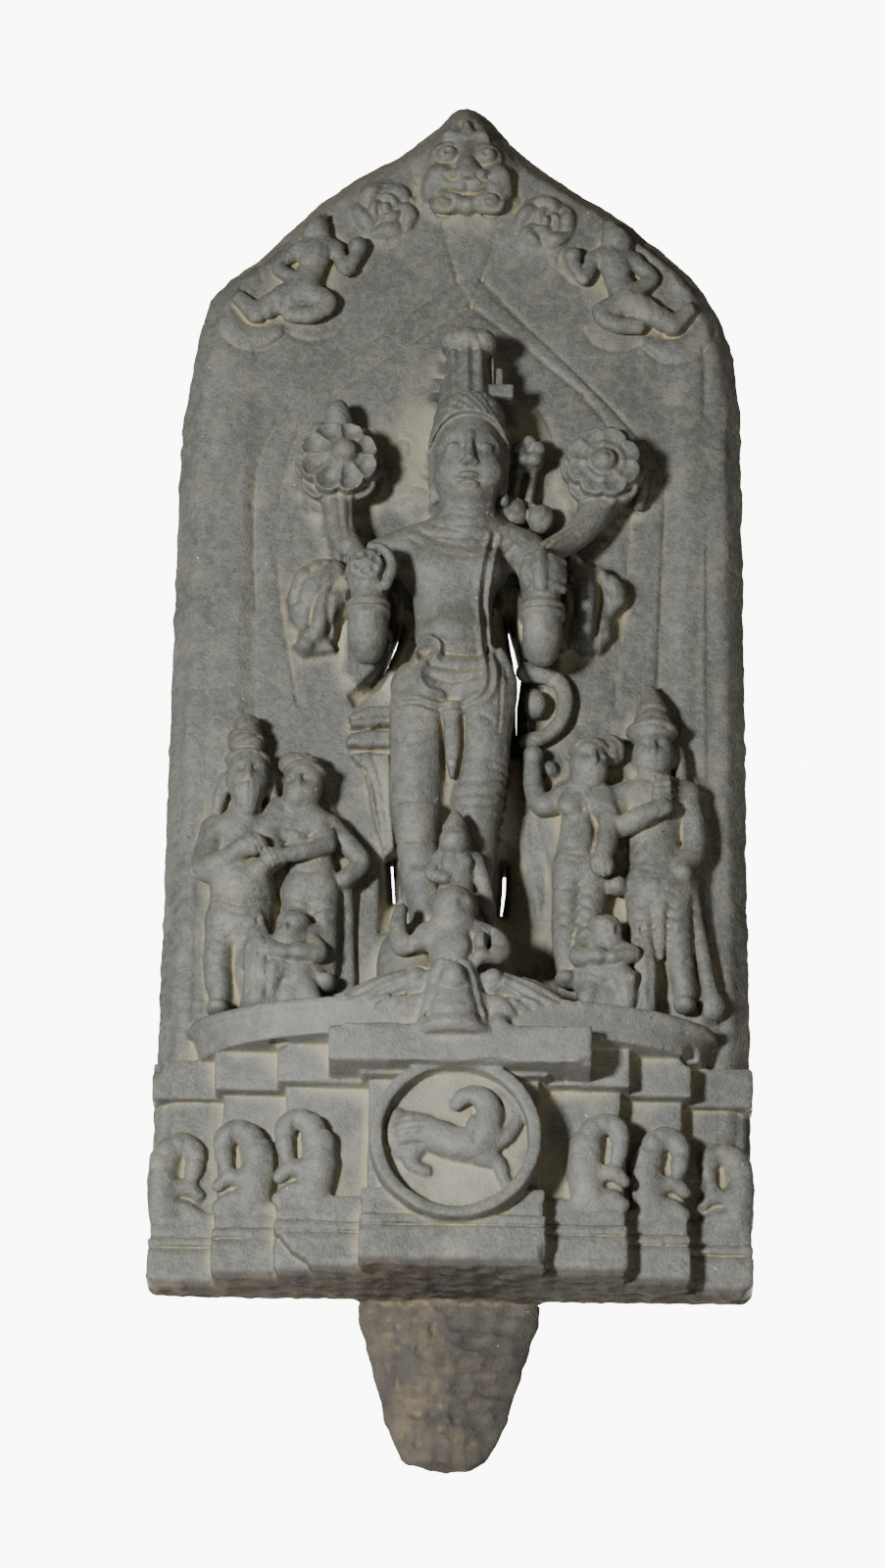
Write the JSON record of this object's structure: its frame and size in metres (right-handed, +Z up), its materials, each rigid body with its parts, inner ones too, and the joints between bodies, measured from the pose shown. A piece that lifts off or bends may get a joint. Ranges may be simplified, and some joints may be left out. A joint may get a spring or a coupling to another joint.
{
  "type": "surya figure",
  "caption": "Arched stone relief of a standing sun god with attendants on a stepped plinth with a wheel and horses, set upright in a socket by the tenon below it.",
  "frame": {"origin": "middle of the root of the tenon, in the plane of the plinth's underside", "axes": "+Z up along the slab to the tip of the arch, -Y out of the carved front, +X to the viewer's right facing the carving"},
  "size_m": [0.33, 0.1226, 0.838],
  "materials": {
    "dark_stone": "rubbed fine-grained black stone with dust in the recesses"
  },
  "bodies": {
    "root": {"surya_stele": "dark_stone"}
  },
  "joints": []
}
